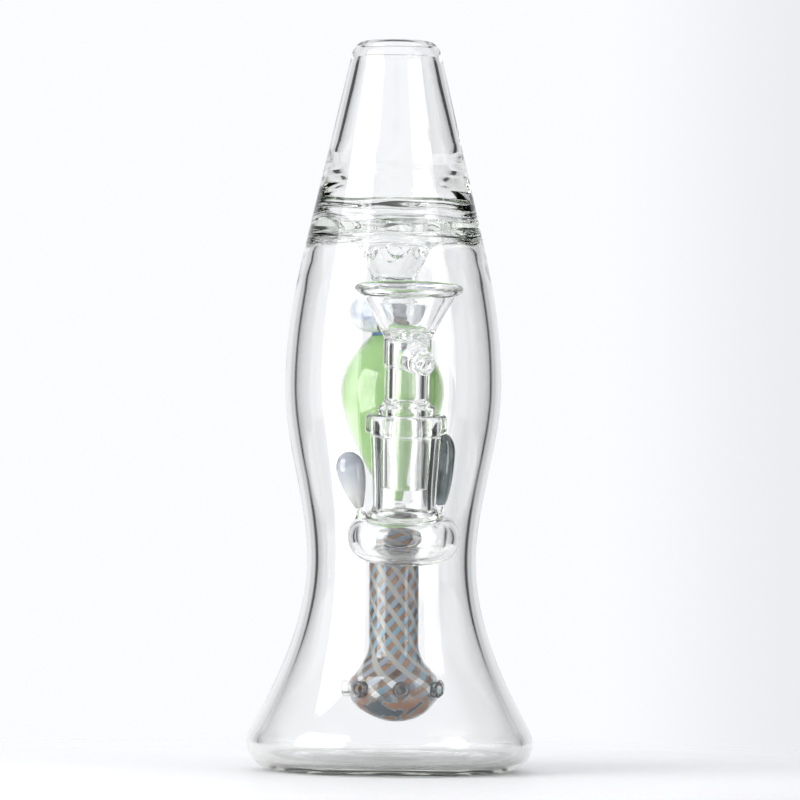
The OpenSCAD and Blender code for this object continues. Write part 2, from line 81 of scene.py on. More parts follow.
# The ground joint, with heights counted from the bulb's centre along the joint.
JOINT_Z = 63.8
JOINT_TILT = math.radians(8)
WELD_BITE = 1.6
BULB_R = 14.9
BULB_ROUND = 6.5
BULB_WALL = 1.8
PORT_R = 3.6
SOCKET_TOP = 32.9
TAPER_R = 7.25
TAPER_LEN = 20.0
TAPER_SLOPE = 0.05
JOINT_GAP = 0.05
TUBE_R = TAPER_R - TAPER_SLOPE * TAPER_LEN
SOCKET_R = TAPER_R + 2.1
SOCKET_LIP_W = 1.4
SOCKET_LIP_H = 5.4

# The bowl, on the joint's own axis.
BOWL_Z = SOCKET_TOP + 0.2
BOWL_LOW = BOWL_Z - TAPER_LEN
STEM_R = 5.95
STEM_IN = 3.95
STEM_Z = BOWL_Z + 3.0
COLLAR_Z = STEM_Z + 8.9
COLLAR_R = 6.35
CUP_Z = COLLAR_Z + 8.2
CUP_R = 14.3
CUP_H = 14.0
BEAD_R = 1.1
CUP_WALL = 1.9
CUP_HOLE = 1.7
HANDLE_TURN = math.radians(20)
HANDLE_DROOP = math.radians(11)

# What stands inside the vessel.
DOWNSTEM_Y = -8.0
DOWNSTEM_R = 6.7
DIFFUSER_TOP = 34.0
DIFFUSER_R = 12.3
DIFFUSER_Z = 22.2
DIFFUSER_LOW = node_box("diffuser_ball")[0].z
NIBS = 7
NIB_TURN = 4.0
DROP_Y = 3.0
DROP_LOW = 75.0
DROP_WIDE = 103.8
DROP_TOP = 118.8
MARBLE_Z = 119.62

# The horns on the bulb.
HORN_FOOT = 2.2
WIDEST = 0.72

# ---------------------------------------------------------------- outlines


def cubic(a, slope_a, b, slope_b, z):
    """Radius at height z on a cubic between two (radius, height) points with given slopes."""
    h = b[1] - a[1]
    t = (z - a[1]) / h
    return ((2 * t**3 - 3 * t**2 + 1) * a[0] + (t**3 - 2 * t**2 + t) * h * slope_a
            + (3 * t**2 - 2 * t**3) * b[0] + (t**3 - t**2) * h * slope_b)


FOOT_C = FOOT_R - FOOT_ROUND
FLARE_TOP = (FOOT_C + FOOT_ROUND * math.cos(math.radians(FLARE_ANGLE)),
             FOOT_ROUND * (1 + math.sin(math.radians(FLARE_ANGLE))))
MOUTH_SLOPE = (SHOULDER[0] - NECK[0]) / (SHOULDER[1] - NECK[1])


def vessel_r(z):
    """Outside radius of the vessel at a height."""
    if z < WAIST[1]:
        return cubic(FLARE_TOP, -math.tan(math.radians(FLARE_ANGLE)), WAIST, 0, z)
    if z < BULGE[1]:
        return cubic(WAIST, 0, BULGE, 0, z)
    if z < NECK[1]:
        return cubic(BULGE, 0, NECK, MOUTH_SLOPE, z)
    return NECK[0] + MOUTH_SLOPE * (z - NECK[1])


def inner_point(z, wall):
    """The point on the inner surface across the wall from the outside at height z."""
    slope = (vessel_r(z + 0.01) - vessel_r(z - 0.01)) / 0.02
    k = wall / math.sqrt(1 + slope * slope)
    return (vessel_r(z) - k, z + k * slope)


def arc(cx, cz, r, a0, a1, n, stretch=1.0):
    """Points on an arc, angles in degrees; stretch scales its height."""
    angles = [math.radians(a0 + (a1 - a0) * i / n) for i in range(n + 1)]
    return [(cx + r * math.cos(a), cz + r * stretch * math.sin(a)) for a in angles]


def bend(a, corner, b, n=6):
    """A rounded corner from a to b."""
    out = []
    for i in range(n + 1):
        t = i / n
        w = ((1 - t) ** 2, 2 * t * (1 - t), t * t)
        out.append(tuple(w[0] * a[k] + w[1] * corner[k] + w[2] * b[k] for k in range(2)))
    return out


def flowing(points, n=5):
    """A smooth line through the points."""
    out = [points[0]]
    for i in range(len(points) - 1):
        p0, p1, p2, p3 = (points[max(i - 1, 0)], points[i], points[i + 1], points[min(i + 2, len(points) - 1)])
        for j in range(1, n + 1):
            t = j / n
            out.append(tuple(0.5 * (2 * p1[k] + (p2[k] - p0[k]) * t
                                    + (2 * p0[k] - 5 * p1[k] + 4 * p2[k] - p3[k]) * t * t
                                    + (3 * p1[k] - p0[k] - 3 * p2[k] + p3[k]) * t**3) for k in range(2)))
    return out


def spaced(z0, z1, step):
    """Even values from z0 to z1, about a step apart."""
    n = max(1, round(abs(z1 - z0) / step))
    return [z0 + (z1 - z0) * i / n for i in range(n + 1)]


def mouth_outline():
    """From the straight taper over the rounded lip and down the bore to the cap's inner wall."""
    crown = BORE_R + 0.9
    run, rise = SHOULDER[0] - crown, TOP_Z - SHOULDER[1]
    edge = [(crown + run * math.cos(a) ** 1.35, SHOULDER[1] + rise * math.sin(a) ** 1.15)
            for a in [math.radians(6 * i) for i in range(15)]]
    inner = inner_point(SHOULDER[1] + 0.3, CAP_WALL - 0.4)
    bore_low = TOP_Z - 1.6
    return (edge + bend((crown, TOP_Z), (BORE_R, TOP_Z), (BORE_R, TOP_Z - 0.9))
            + bend((BORE_R, bore_low), (BORE_R, bore_low - 0.8), (BORE_R + 0.3, bore_low - 1.1))
            + bend((BORE_R + 0.4, bore_low - 1.2), (inner[0] - 0.2, inner[1] + 0.7), inner)
            + [inner_point(LIP_Z - 4, CAP_WALL)])


def neck_outline():
    """Down the cap's inside: the welded ridge, the thick ring, the guard disc and its funnel."""
    rises = [(171, 0), (168.5, 0.2), (165.5, 0.9), (162.6, 1.7), (160.2, 1.3), (158, 0.5), (155.4, 0)]
    cone = lambda z: vessel_r(z) - CAP_WALL * 1.03
    ridge = flowing([(cone(z) - rise, z) for z, rise in rises])
    ring_in = RING_R - 4.9
    ring = flowing([(cone(155.4), 155.4), (ring_in + 1.9, 154.4), (ring_in + 0.4, 152.4),
                    (ring_in + 1.2, 150.8), (19.0, 150.0), (19.4, 149.5), (18.4, SEAM_Z)])[1:]
    open_r = FUNNEL_R - FUNNEL_WALL
    disc = bend((open_r + 2.2, SEAM_Z), (open_r + 0.2, SEAM_Z), (open_r - 0.5, GUARD_Z - 0.6))
    inner_r = SPOUT_R - FUNNEL_WALL
    floor_z = FUNNEL_BOTTOM + FUNNEL_WALL
    up = lambda k: CONE_BOTTOM + (GUARD_Z - CONE_BOTTOM) * k
    inside = ([(inner_r + (open_r - inner_r) * k, up(k)) for k in (0.8, 0.55, 0.3, 0.1)]
              + bend((inner_r, CONE_BOTTOM), (inner_r, floor_z), (DRAIN_R + 0.6, floor_z)))
    drain = bend((DRAIN_R, FUNNEL_BOTTOM + 1.3), (DRAIN_R, FUNNEL_BOTTOM), (DRAIN_R + 0.8, FUNNEL_BOTTOM), 4)
    spout = bend((SPOUT_R - 2.2, FUNNEL_BOTTOM), (SPOUT_R, FUNNEL_BOTTOM), (SPOUT_R, CONE_BOTTOM - 0.8))
    outside = [(SPOUT_R + (FUNNEL_R - SPOUT_R) * k, up(k)) for k in (0.06, 0.25, 0.5, 0.75)]
    under = bend((FUNNEL_R - 0.9, GUARD_Z - 1.4), (FUNNEL_R + 0.2, GUARD_Z), (FUNNEL_R + 2.6, GUARD_Z))
    return ridge + ring + disc + inside + drain + spout + outside + under


def vessel_outline():
    """The whole vessel in one line, from the middle of the underside to the middle of the floor."""
    ring_in = FOOT_C - FOOT_RING_W
    rises = [(0, 1), (0.3, 0.97), (0.55, 0.85), (0.8, 0.4), (0.93, 0.1), (1, 0)]
    underside = flowing([(ring_in * r, PUNT * z) for r, z in rises])
    foot = arc(FOOT_C, FOOT_ROUND, FOOT_ROUND, -90, FLARE_ANGLE, 28)
    wall = [(vessel_r(z), z) for z in spaced(FLARE_TOP[1], SHOULDER[1], 1.25)[1:-1]]
    corner = inner_point(NECK[1] - 2, WALL)
    top = bend((corner[0] - 4.5, GUARD_Z), (corner[0] - 0.6, GUARD_Z), corner, 10)
    inside = [inner_point(z, WALL) for z in spaced(NECK[1] - 2, FLARE_TOP[1], 1.25)[1:]]
    foot_in = arc(FOOT_C, FOOT_ROUND, FOOT_ROUND - WALL, FLARE_ANGLE, -90, 22)[1:]
    floor = [(r, WALL + PUNT * 0.5 * (1 + math.cos(math.pi * r / FOOT_C)) + 0.1 * math.sin(r * 0.9))
             for r in spaced(FOOT_C, 0, 1.6)[1:-1]] + [(0, WALL + PUNT)]
    return underside + foot + wall + mouth_outline() + neck_outline() + top + inside + foot_in + floor


# ---------------------------------------------------------------- mesh helpers


def moved(x, y, z):
    """A place at a point, in millimetres."""
    return Matrix.Translation(Vector((x, y, z)))


def turned(degrees, axis):
    """A turn about one axis."""
    return Matrix.Rotation(math.radians(degrees), 4, axis)


UPRIGHT = Matrix.Identity(4)
JOINT = moved(0, -(vessel_r(JOINT_Z) + BULB_R - WELD_BITE), JOINT_Z) @ Matrix.Rotation(JOINT_TILT, 4, "X")
DROP = moved(0, DROP_Y, 0)
HANDLE = (JOINT @ moved(0, 0, COLLAR_Z + 4.1) @ Matrix.Rotation(HANDLE_TURN, 4, "Z")
          @ Matrix.Rotation(math.pi / 2 + HANDLE_DROOP, 4, "X"))


def add_object(name, verts, faces, slots=None):
    """A mesh object from points in millimetres."""
    mesh = bpy.data.meshes.new(name)
    mesh.from_pydata([Vector(v) * MM for v in verts], [], faces)
    mesh.validate()
    obj = bpy.data.objects.new(name, mesh)
    bpy.context.scene.collection.objects.link(obj)
    if slots:
        for poly, index in zip(mesh.polygons, slots):
            poly.material_index = index
    return obj


def shade(obj, angle=42):
    """Smooth shading, with creases where faces turn by more than the angle."""
    for poly in obj.data.polygons:
        poly.use_smooth = True
    obj.data.set_sharp_from_angle(angle=math.radians(angle))
    return obj


def lathe(name, outline, place=UPRIGHT, turns=144, closed=False, wobble=None, zone=None):
    """Turns an outline of (radius, height) about the place's own axis."""
    verts, faces, slots, rows = [], [], [], []
    for r, z in outline:
        if r < 1e-6:
            rows.append([len(verts)])
            verts.append(place @ Vector((0, 0, z)))
            continue
        row = []
        for i in range(turns):
            a = 2 * math.pi * i / turns
            rr, zz = wobble(r, z, a) if wobble else (r, z)
            row.append(len(verts))
            verts.append(place @ Vector((rr * math.cos(a), rr * math.sin(a), zz)))
        rows.append(row)
    pairs = list(zip(rows, rows[1:], outline, outline[1:]))
    if closed:
        pairs.append((rows[-1], rows[0], outline[-1], outline[0]))
    for low, high, p, q in pairs:
        index = zone((p[0] + q[0]) / 2, (p[1] + q[1]) / 2) if zone else 0
        for i in range(turns):
            j = (i + 1) % turns
            if len(low) == 1:
                face = (low[0], high[j], high[i])
            elif len(high) == 1:
                face = (low[i], low[j], high[0])
            else:
                face = (low[i], low[j], high[j], high[i])
            faces.append(face)
            slots.append(index)
    obj = add_object(name, verts, faces, slots)
    return shade(face_out(obj))


def face_out(obj):
    """Turns every face outwards."""
    bm = bmesh.new()
    bm.from_mesh(obj.data)
    bmesh.ops.recalc_face_normals(bm, faces=bm.faces)
    bm.to_mesh(obj.data)
    bm.free()
    return obj


def rod(name, r, length, place, turns=48, r_end=None, oval=1.0):
    """A plain round cutter along the place's Z axis."""
    r_end = r if r_end is None else r_end
    obj = lathe(name, [(0, 0), (r, 0), (r_end, length), (0, length)], place, turns)
    if oval != 1.0:
        centre = place.translation * MM
        side = place.to_3x3() @ Vector((0, 1, 0))
        for v in obj.data.vertices:
            off = (v.co - centre).dot(side)
            v.co += side * off * (oval - 1)
    return obj


def combine(obj, others, mode="DIFFERENCE"):
    """Cuts the others out of obj, or joins them to it, and removes them."""
    for other in others:
        mod = obj.modifiers.new("combine", "BOOLEAN")
        mod.operation, mod.object, mod.solver = mode, other, "EXACT"
        bpy.context.view_layer.update()
        done = bpy.data.meshes.new_from_object(obj.evaluated_get(bpy.context.evaluated_depsgraph_get()))
        obj.modifiers.remove(mod)
        obj.data = done
        bpy.data.objects.remove(other)
    return shade(obj)


def finish_piece(obj, materials, body, slot, *nodes):
    """Gives a piece its materials, its body and the CAD nodes that it stands for. The slot is not used."""
    obj.data.materials.clear()
    for mat in materials:
        obj.data.materials.append(mat)
    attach(obj, body)
    if nodes:
        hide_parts(*nodes)
    return obj


# ---------------------------------------------------------------- node patterns


class Value:
    """A number in a node tree, so that a pattern reads as a formula."""

    def __init__(self, tree, socket):
        self.tree, self.socket = tree, socket

    def op(self, name, *args):
        node = self.tree.nodes.new("ShaderNodeMath")
        node.operation = name
        for i, value in enumerate((self, *args)):
            if isinstance(value, Value):
                self.tree.links.new(value.socket, node.inputs[i])
            else:
                node.inputs[i].default_value = value
        return Value(self.tree, node.outputs[0])

    def __add__(self, o):
        return self.op("ADD", o)

    def __sub__(self, o):
        return self.op("SUBTRACT", o)

    def __mul__(self, o):
        return self.op("MULTIPLY", o)

    def ramp(self, low, high):
        """0 below low and 1 above high, with a soft step between."""
        node = self.tree.nodes.new("ShaderNodeMapRange")
        node.interpolation_type = "SMOOTHSTEP"
        self.tree.links.new(self.socket, node.inputs["Value"])
        node.inputs["From Min"].default_value = low
        node.inputs["From Max"].default_value = high
        return Value(self.tree, node.outputs["Result"])

    def stripe(self, width, soft=0.06):
        """1 on a stripe that fills width of each whole number, with soft sides."""
        across = (self.op("FRACT") - 0.5).op("ABSOLUTE") * 2
        return (across * -1 + 1).ramp(1 - width - soft, 1 - width + soft)


def blended(tree, fac, a, b):
    """Colour a where fac is 0 and b where it is 1."""
    node = tree.nodes.new("ShaderNodeMix")
    node.data_type = "RGBA"
    tree.links.new(fac.socket, node.inputs["Factor"])
    for socket, colour in zip((node.inputs[6], node.inputs[7]), (a, b)):
        if isinstance(colour, tuple):
            socket.default_value = (*colour, 1)
        else:
            tree.links.new(colour, socket)
    return node.outputs[2]


def noise_value(tree, scale, detail=2.0, distortion=0.0):
    """Smooth noise over the piece; scale is in waves per metre."""
    coord = tree.nodes.new("ShaderNodeTexCoord")
    node = tree.nodes.new("ShaderNodeTexNoise")
    node.inputs["Scale"].default_value = scale
    node.inputs["Detail"].default_value = detail
    node.inputs["Distortion"].default_value = distortion
    tree.links.new(coord.outputs["Object"], node.inputs["Vector"])
    return Value(tree, node.outputs["Fac"])


def place_values(tree):
    """x, y and z on the piece, in millimetres."""
    coord = tree.nodes.new("ShaderNodeTexCoord")
    split = tree.nodes.new("ShaderNodeSeparateXYZ")
    tree.links.new(coord.outputs["Object"], split.inputs[0])
    return [Value(tree, split.outputs[i]) * (1 / MM) for i in range(3)]


def add_bump(tree, bsdf, height, distance, strength=1.0):
    """Bump whose height runs over the given distance in metres."""
    node = tree.nodes.new("ShaderNodeBump")
    node.inputs["Strength"].default_value = strength
    node.inputs["Distance"].default_value = distance
    tree.links.new(height.socket, node.inputs["Height"])
    tree.links.new(node.outputs[0], bsdf.inputs["Normal"])


def new_material(name, **values):
    mat = bpy.data.materials.new(name)
    mat.use_nodes = True
    bsdf = mat.node_tree.nodes["Principled BSDF"]
    for key, value in values.items():
        bsdf.inputs[key.replace("_", " ")].default_value = value
    return mat, mat.node_tree, bsdf


# ---------------------------------------------------------------- materials
GLASS_IOR = 1.47


def clear_glass(name, roughness=0.0, density=34.0, wave=0.00004, tint=(0.86, 0.89, 0.83)):
    """Borosilicate glass: clear when thin, grey-green when thick, with the faint waves of lamp work."""
    mat, tree, bsdf = new_material(name, Transmission_Weight=1.0, IOR=GLASS_IOR)
    bsdf.inputs["Base Color"].default_value = (1, 1, 1, 1)
    smudge = noise_value(tree, 130, 3.0).ramp(0.45, 0.8) * 0.015 + roughness
    tree.links.new(smudge.socket, bsdf.inputs["Roughness"])
    add_bump(tree, bsdf, noise_value(tree, 55, 1.0), wave)
    absorb = tree.nodes.new("ShaderNodeVolumeAbsorption")
    absorb.inputs["Color"].default_value = (*tint, 1)
    absorb.inputs["Density"].default_value = density
    tree.links.new(absorb.outputs[0], tree.nodes["Material Output"].inputs["Volume"])
    return mat


def ground_glass():
    """The ground taper: fine grinding that the fit has half cleared."""
    mat = clear_glass("ground_glass", 0.10)
    tree = mat.node_tree
    bsdf = tree.nodes["Principled BSDF"]
    x, y, z = place_values(tree)
    rings = (z * 2.3).op("SINE") * 0.5 + 0.5
    grain = noise_value(tree, 900, 4.0)
    add_bump(tree, bsdf, rings * 0.3 + grain, 0.00003)
    return mat


def solid_glass(name, colour, roughness=0.06, transmission=0.0, coat=1.0):
    """Opaque or cloudy coloured glass under a clear polished skin."""
    mat, tree, bsdf = new_material(name, Roughness=roughness, Transmission_Weight=transmission, IOR=GLASS_IOR,
                                   Coat_Weight=coat, Coat_Roughness=0.01)
    bsdf.inputs["Base Color"].default_value = (*colour, 1)
    return mat, tree, bsdf


def green_glass():
    """Milky spring green with soft clouds."""
    mat, tree, bsdf = solid_glass("green_glass", (0.38, 0.62, 0.24))
    cloud = noise_value(tree, 60, 2.0, 0.6)
    x, y, z = place_values(tree)
    height = z.ramp(75, 125)
    body = blended(tree, cloud.ramp(0.3, 0.7), (0.30, 0.57, 0.17), (0.38, 0.66, 0.23))
    tone = blended(tree, height, body, (0.33, 0.58, 0.20))
    tree.links.new(tone, bsdf.inputs["Base Color"])
    bsdf.inputs["Subsurface Weight"].default_value = 0.25
    bsdf.inputs["Subsurface Radius"].default_value = (0.002, 0.003, 0.001)
    bsdf.inputs["Subsurface Scale"].default_value = 1.0
    add_bump(tree, bsdf, cloud, 0.00005)
    return mat


def latticino_glass(axis_y):
    """Blue and teal stripes that climb to the right, pale ones that cross them, amber and brown between."""
    mat, tree, bsdf = solid_glass("latticino_glass", (0.5, 0.6, 0.7))
    x, y, z = place_values(tree)
    drift = noise_value(tree, 90, 2.0) * 0.05
    turn = (y - axis_y).op("ARCTAN2", x) * (1 / (2 * math.pi)) + drift
    rising = (turn * 12 - z * 0.235).stripe(0.50, 0.10)
    rising_edge = (turn * 12 - z * 0.235 + 0.30).stripe(0.16, 0.08)
    crossing = (turn * 9 + z * 0.155).stripe(0.34, 0.10)
    patch = noise_value(tree, 240, 3.0, 0.4)
    amber = blended(tree, patch.ramp(0.35, 0.65), (0.10, 0.066, 0.038), (0.34, 0.17, 0.075))
    blue = blended(tree, noise_value(tree, 70).ramp(0.40, 0.62), (0.17, 0.36, 0.47), (0.27, 0.30, 0.38))
    teal = blended(tree, rising_edge, blue, (0.08, 0.27, 0.33))
    striped = blended(tree, rising, amber, teal)
    crossed = blended(tree, crossing, striped, (0.42, 0.42, 0.39))
    swirl = noise_value(tree, 150, 2.0, 1.5)
    low = blended(tree, swirl.ramp(0.42, 0.56), (0.05, 0.095, 0.13), (0.42, 0.19, 0.085))
    low_light = blended(tree, (swirl * 3).stripe(0.10, 0.08), low, (0.34, 0.50, 0.58))
    ball = blended(tree, z.ramp(16.5, 24) * -1 + 1, crossed, low_light)
    diamond = rising * crossing * z.ramp(19, 21) * (z.ramp(24.5, 27) * -1 + 1)
    tone = blended(tree, diamond.ramp(0.4, 0.6), ball, (0.80, 0.82, 0.82))
    tree.links.new(tone, bsdf.inputs["Base Color"])
    add_bump(tree, bsdf, rising + crossing, 0.00005)
    return mat


def marble_glass():
    """Clear in front and behind, clouding to pale blue at its sides."""
    mat, tree, bsdf = solid_glass("marble_glass", (0.66, 0.73, 0.84), 0.02, 1.0)
    cloud = noise_value(tree, 150, 3.0, 0.8)
    x, y, z = place_values(tree)
    pale = blended(tree, cloud.ramp(0.35, 0.65), (0.50, 0.58, 0.72), (0.82, 0.86, 0.92))
    low_middle = (z.ramp(120, 126) * -1 + 1) * (x.op("ABSOLUTE").ramp(7, 10) * -1 + 1)
    speck = noise_value(tree, 520, 2.0).ramp(0.58, 0.66) * low_middle
    tone = blended(tree, speck, pale, (0.36, 0.24, 0.08))
    misty = (x.op("ABSOLUTE") + cloud * 3.5).ramp(6.0, 9.0)
    skin = blended(tree, misty, (0.97, 0.98, 1.0), tone)
    tree.links.new(skin, bsdf.inputs["Base Color"])
    tree.links.new((misty * -0.72 + 1).socket, bsdf.inputs["Transmission Weight"])
    return mat


def horn_glass(name, dark, mid, light, low, high):
    """Streaked grey glass, paler inside and clear towards the foot."""
    mat, tree, bsdf = solid_glass(name, mid, 0.04, 0.35)
    x, y, z = place_values(tree)
    streak = noise_value(tree, 120, 3.0, 1.0)
    body = blended(tree, streak.ramp(0.35, 0.65), dark, mid)
    tone = blended(tree, z.ramp(low, high) * -1 + 1, body, light)
    tree.links.new(tone, bsdf.inputs["Base Color"])
    clear = (z.ramp(low - 3, low + 4) * -1 + 1) * 0.6 + 0.3
    tree.links.new(clear.socket, bsdf.inputs["Transmission Weight"])
    return mat


def plain_coloured(name, a, b, scale=300):
    """Coloured glass that drifts between two tones."""
    mat, tree, bsdf = solid_glass(name, a)
    tone = blended(tree, noise_value(tree, scale, 3.0, 0.5).ramp(0.4, 0.62), a, b)
    tree.links.new(tone, bsdf.inputs["Base Color"])
    return mat


# ---------------------------------------------------------------- pieces


def vessel_wobble(r, z, a):
    """Hand-made swells inside the neck, strongest around the weld, and none at the lip or outside."""
    if r > vessel_r(max(z, FLARE_TOP[1])) - 1.2 or z < FUNNEL_BOTTOM - 1:
        return r, z
    rise = max(0.0, 1 - abs(z - 151) / 10)
    strong = (0.35 + 1.5 * rise) * min(1.0, max(0.0, (LIP_Z - 6 - z) / 8))
    swell = (0.14 * math.sin(3 * a + 0.6 + 0.3 * z) + 0.12 * math.sin(5 * a + 2.1 - 0.4 * z)
             + 0.07 * math.sin(9 * a + 0.5 * z))
    tilt = (0.20 * math.sin(2 * a + 1.2) + 0.20 * math.sin(4 * a + 0.3 + r)
            + 0.10 * math.sin(7 * a + 1.9))
    return r + swell * strong, z + tilt * strong


def port_cutter():
    """The round hole from the bulb into the vessel."""
    start = moved(0, JOINT.translation.y + BULB_R - BULB_ROUND, JOINT_Z) @ turned(-90, "X")
    return rod("port", PORT_R, 19, start)


def funnel_hole_cutters():
    """Six slightly uneven oval holes around the funnel."""
    hole_z = GUARD_Z - (GUARD_Z - CONE_BOTTOM) * 0.42
    hole_c = FUNNEL_R - (FUNNEL_R - SPOUT_R) * 0.42
    lean = math.atan((FUNNEL_R - SPOUT_R) / (GUARD_Z - CONE_BOTTOM))
    cutters = []
    for i in range(HOLES):
        turn = turned(360 / HOLES * (i + 0.5) + 5 * math.sin(2.3 * i), "Z")
        at_hole = moved(hole_c, 0, hole_z + 0.3 * math.sin(1.7 * i)) @ Matrix.Rotation(math.pi / 2 + lean, 4, "Y")
        size = 2.7 + 0.25 * math.sin(1.9 * i + 1)
        cutters.append(rod("hole", size, 7, turn @ at_hole @ moved(0, 0, -3.5), 40, oval=1.12))
    return cutters


def make_vessel(glass):
    """The whole vessel as one fused piece of glass, from the foot to the lip."""
    vessel = lathe("vessel_glass", vessel_outline(), turns=160, wobble=vessel_wobble)
    combine(vessel, [port_cutter()] + funnel_hole_cutters())
    return finish_piece(vessel, [glass], "water_pipe", "clear_glass", "base_plate", "foot_shell", "body_shell",
                        "shoulder_shell", "guard_disc", "splash_funnel", "neck_ring", "neck_ridge",
                        "mouthpiece", "mouth_lip")


def joint_outline():
    """The bulb and its ground socket, up the outside and down the taper into the bulb."""
    c = BULB_R - BULB_ROUND
    tube_out = SOCKET_R
    lip_r = tube_out + SOCKET_LIP_W
    lip_low = SOCKET_TOP - SOCKET_LIP_H
    outside = (flowing([(0, -BULB_ROUND + 0.25), (c * 0.5, -BULB_ROUND + 0.12), (c, -BULB_ROUND)])
               + arc(c, 0, BULB_ROUND, -85, 66, 30)
               + bend((9.6, 6.55), (8.35, 7.0), (8.4, 9.0)) + [(8.6, 14), (8.95, 20), (9.25, 25.5)]
               + bend((tube_out, lip_low - 0.7), (tube_out, lip_low), (tube_out + 0.5, lip_low + 0.05), 3)
               + bend((lip_r - 0.8, lip_low + 0.1), (lip_r, lip_low + 0.2), (lip_r, lip_low + 1.4))
               + bend((lip_r, SOCKET_TOP - 1.4), (lip_r, SOCKET_TOP), (lip_r - 1.2, SOCKET_TOP)))
    socket = bend((TAPER_R + 0.35, SOCKET_TOP), (TAPER_R, SOCKET_TOP), (TAPER_R - 0.02, SOCKET_TOP - 0.4), 3)
    taper = [(TAPER_R - TAPER_SLOPE * (SOCKET_TOP - h), h)
             for h in spaced(SOCKET_TOP - 1, SOCKET_TOP - TAPER_LEN, 2)]
    inner = BULB_ROUND - BULB_WALL
    inside = (bend((TUBE_R, 9.5), (TUBE_R, inner + 0.6), (TUBE_R + 1.6, inner + 0.1))
              + arc(c, 0, inner, 82, -90, 26) + flowing([(c * 0.6, -inner + 0.1), (0, -inner + 0.3)]))
    return outside + socket + taper + inside


def vessel_blank(grow):
    """The vessel's outside as a solid, for cutting what leans on it."""
    side = [(vessel_r(z) + grow, z) for z in spaced(30, 100, 2)]
    return lathe("blank", [(0, 30)] + side + [(0, 100)], turns=160)


def make_joint(glass):
    """The bulb, the socket and its bead as one piece, cut to sit on the vessel."""
    joint = lathe("joint_glass", joint_outline(), JOINT, 128)
    combine(joint, [vessel_blank(0.03), port_cutter()])
    return finish_piece(joint, [glass], "water_pipe", "clear_glass", "joint_bulb", "joint_tube", "joint_lip")


def clear_wall_weld(glass):
    """The weld keeps its CAD shape and takes the clear glass."""
    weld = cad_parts["wall_weld"]
    weld.data.materials.clear()
    weld.data.materials.append(glass)


def bowl_outline():
    """The bowl in one closed line: up the outside, over the rim, and down the cup and the bore."""
    taper_at = lambda h: TAPER_R - TAPER_SLOPE * (SOCKET_TOP - h) - JOINT_GAP
    tip = taper_at(BOWL_LOW)
    outside = (bend((tip - 1.0, BOWL_LOW), (tip, BOWL_LOW), (tip, BOWL_LOW + 0.8), 4)
               + [(taper_at(h), h) for h in spaced(BOWL_LOW + 1, BOWL_Z, 2)]
               + flowing([(TAPER_R + 0.28, BOWL_Z + 0.9), (TAPER_R + 0.1, BOWL_Z + 1.7),
                          (STEM_R + 0.5, BOWL_Z + 2.5), (STEM_R, STEM_Z + 0.6)])
               + [(STEM_R, h) for h in spaced(STEM_Z + 1.5, COLLAR_Z - 0.8, 2)]
               + bend((STEM_R, COLLAR_Z), (STEM_R, COLLAR_Z + 0.5), (COLLAR_R, COLLAR_Z + 0.8), 4)
               + [(COLLAR_R, h) for h in spaced(COLLAR_Z + 1.5, CUP_Z - 1, 2)]
               + bend((COLLAR_R, CUP_Z - 0.5), (COLLAR_R + 0.1, CUP_Z + 0.3), (COLLAR_R + 0.8, CUP_Z + 1.4)))
    top = CUP_Z + CUP_H
    lean = (CUP_R - 0.5 - COLLAR_R) / CUP_H
    cone = [(COLLAR_R + lean * k * CUP_H, CUP_Z + k * CUP_H) for k in (0.2, 0.35, 0.5, 0.65, 0.8)]
    bead = arc(CUP_R - BEAD_R, top - BEAD_R, BEAD_R, -40, 190, 14)
    floor_z = CUP_Z + 2.0
    inner_at = lambda h: COLLAR_R + lean * (h - CUP_Z) - CUP_WALL
    inner = [(inner_at(h), h) for h in spaced(top - BEAD_R - 0.8, floor_z + 1.2, 1.6)]
    low_r = inner_at(floor_z) - 0.7
    hole = (bend((inner_at(floor_z + 0.6), floor_z + 0.7), (low_r + 0.5, floor_z), (low_r - 0.6, floor_z), 5)
            + bend((CUP_HOLE + 0.6, floor_z), (CUP_HOLE, floor_z), (CUP_HOLE, floor_z - 0.5), 4)
            + bend((CUP_HOLE, floor_z - 0.8), (CUP_HOLE, floor_z - 1.3), (STEM_IN - 0.6, CUP_Z + 0.2), 5))
    bore = ([(STEM_IN, h) for h in spaced(CUP_Z - 1, BOWL_Z, 4)]
            + bend((STEM_IN, BOWL_Z - 1), (STEM_IN, BOWL_Z - 3), (4.3, BOWL_Z - 6)))
    bottom = ([(tip - 2, BOWL_LOW + 1.0)]
              + bend((tip - 2, BOWL_LOW + 0.8), (tip - 2, BOWL_LOW), (tip - 1.2, BOWL_LOW), 4))
    return outside + cone + bead + inner + hole + bore + bottom


def make_bowl(glass, ground):
    """The lift-out bowl, frosted where it is ground to fit."""
    ground_zone = lambda r, z: 1 if z < BOWL_Z - 0.5 and r > 6.0 else 0
    bowl = lathe("bowl_glass", bowl_outline(), JOINT, 128, closed=True, zone=ground_zone)
    finish_piece(bowl, [glass, ground], "bowl", "clear_glass", "bowl_taper", "bowl_shoulder", "bowl_stem",
                 "bowl_collar", "bowl_cup", "bowl_rim")


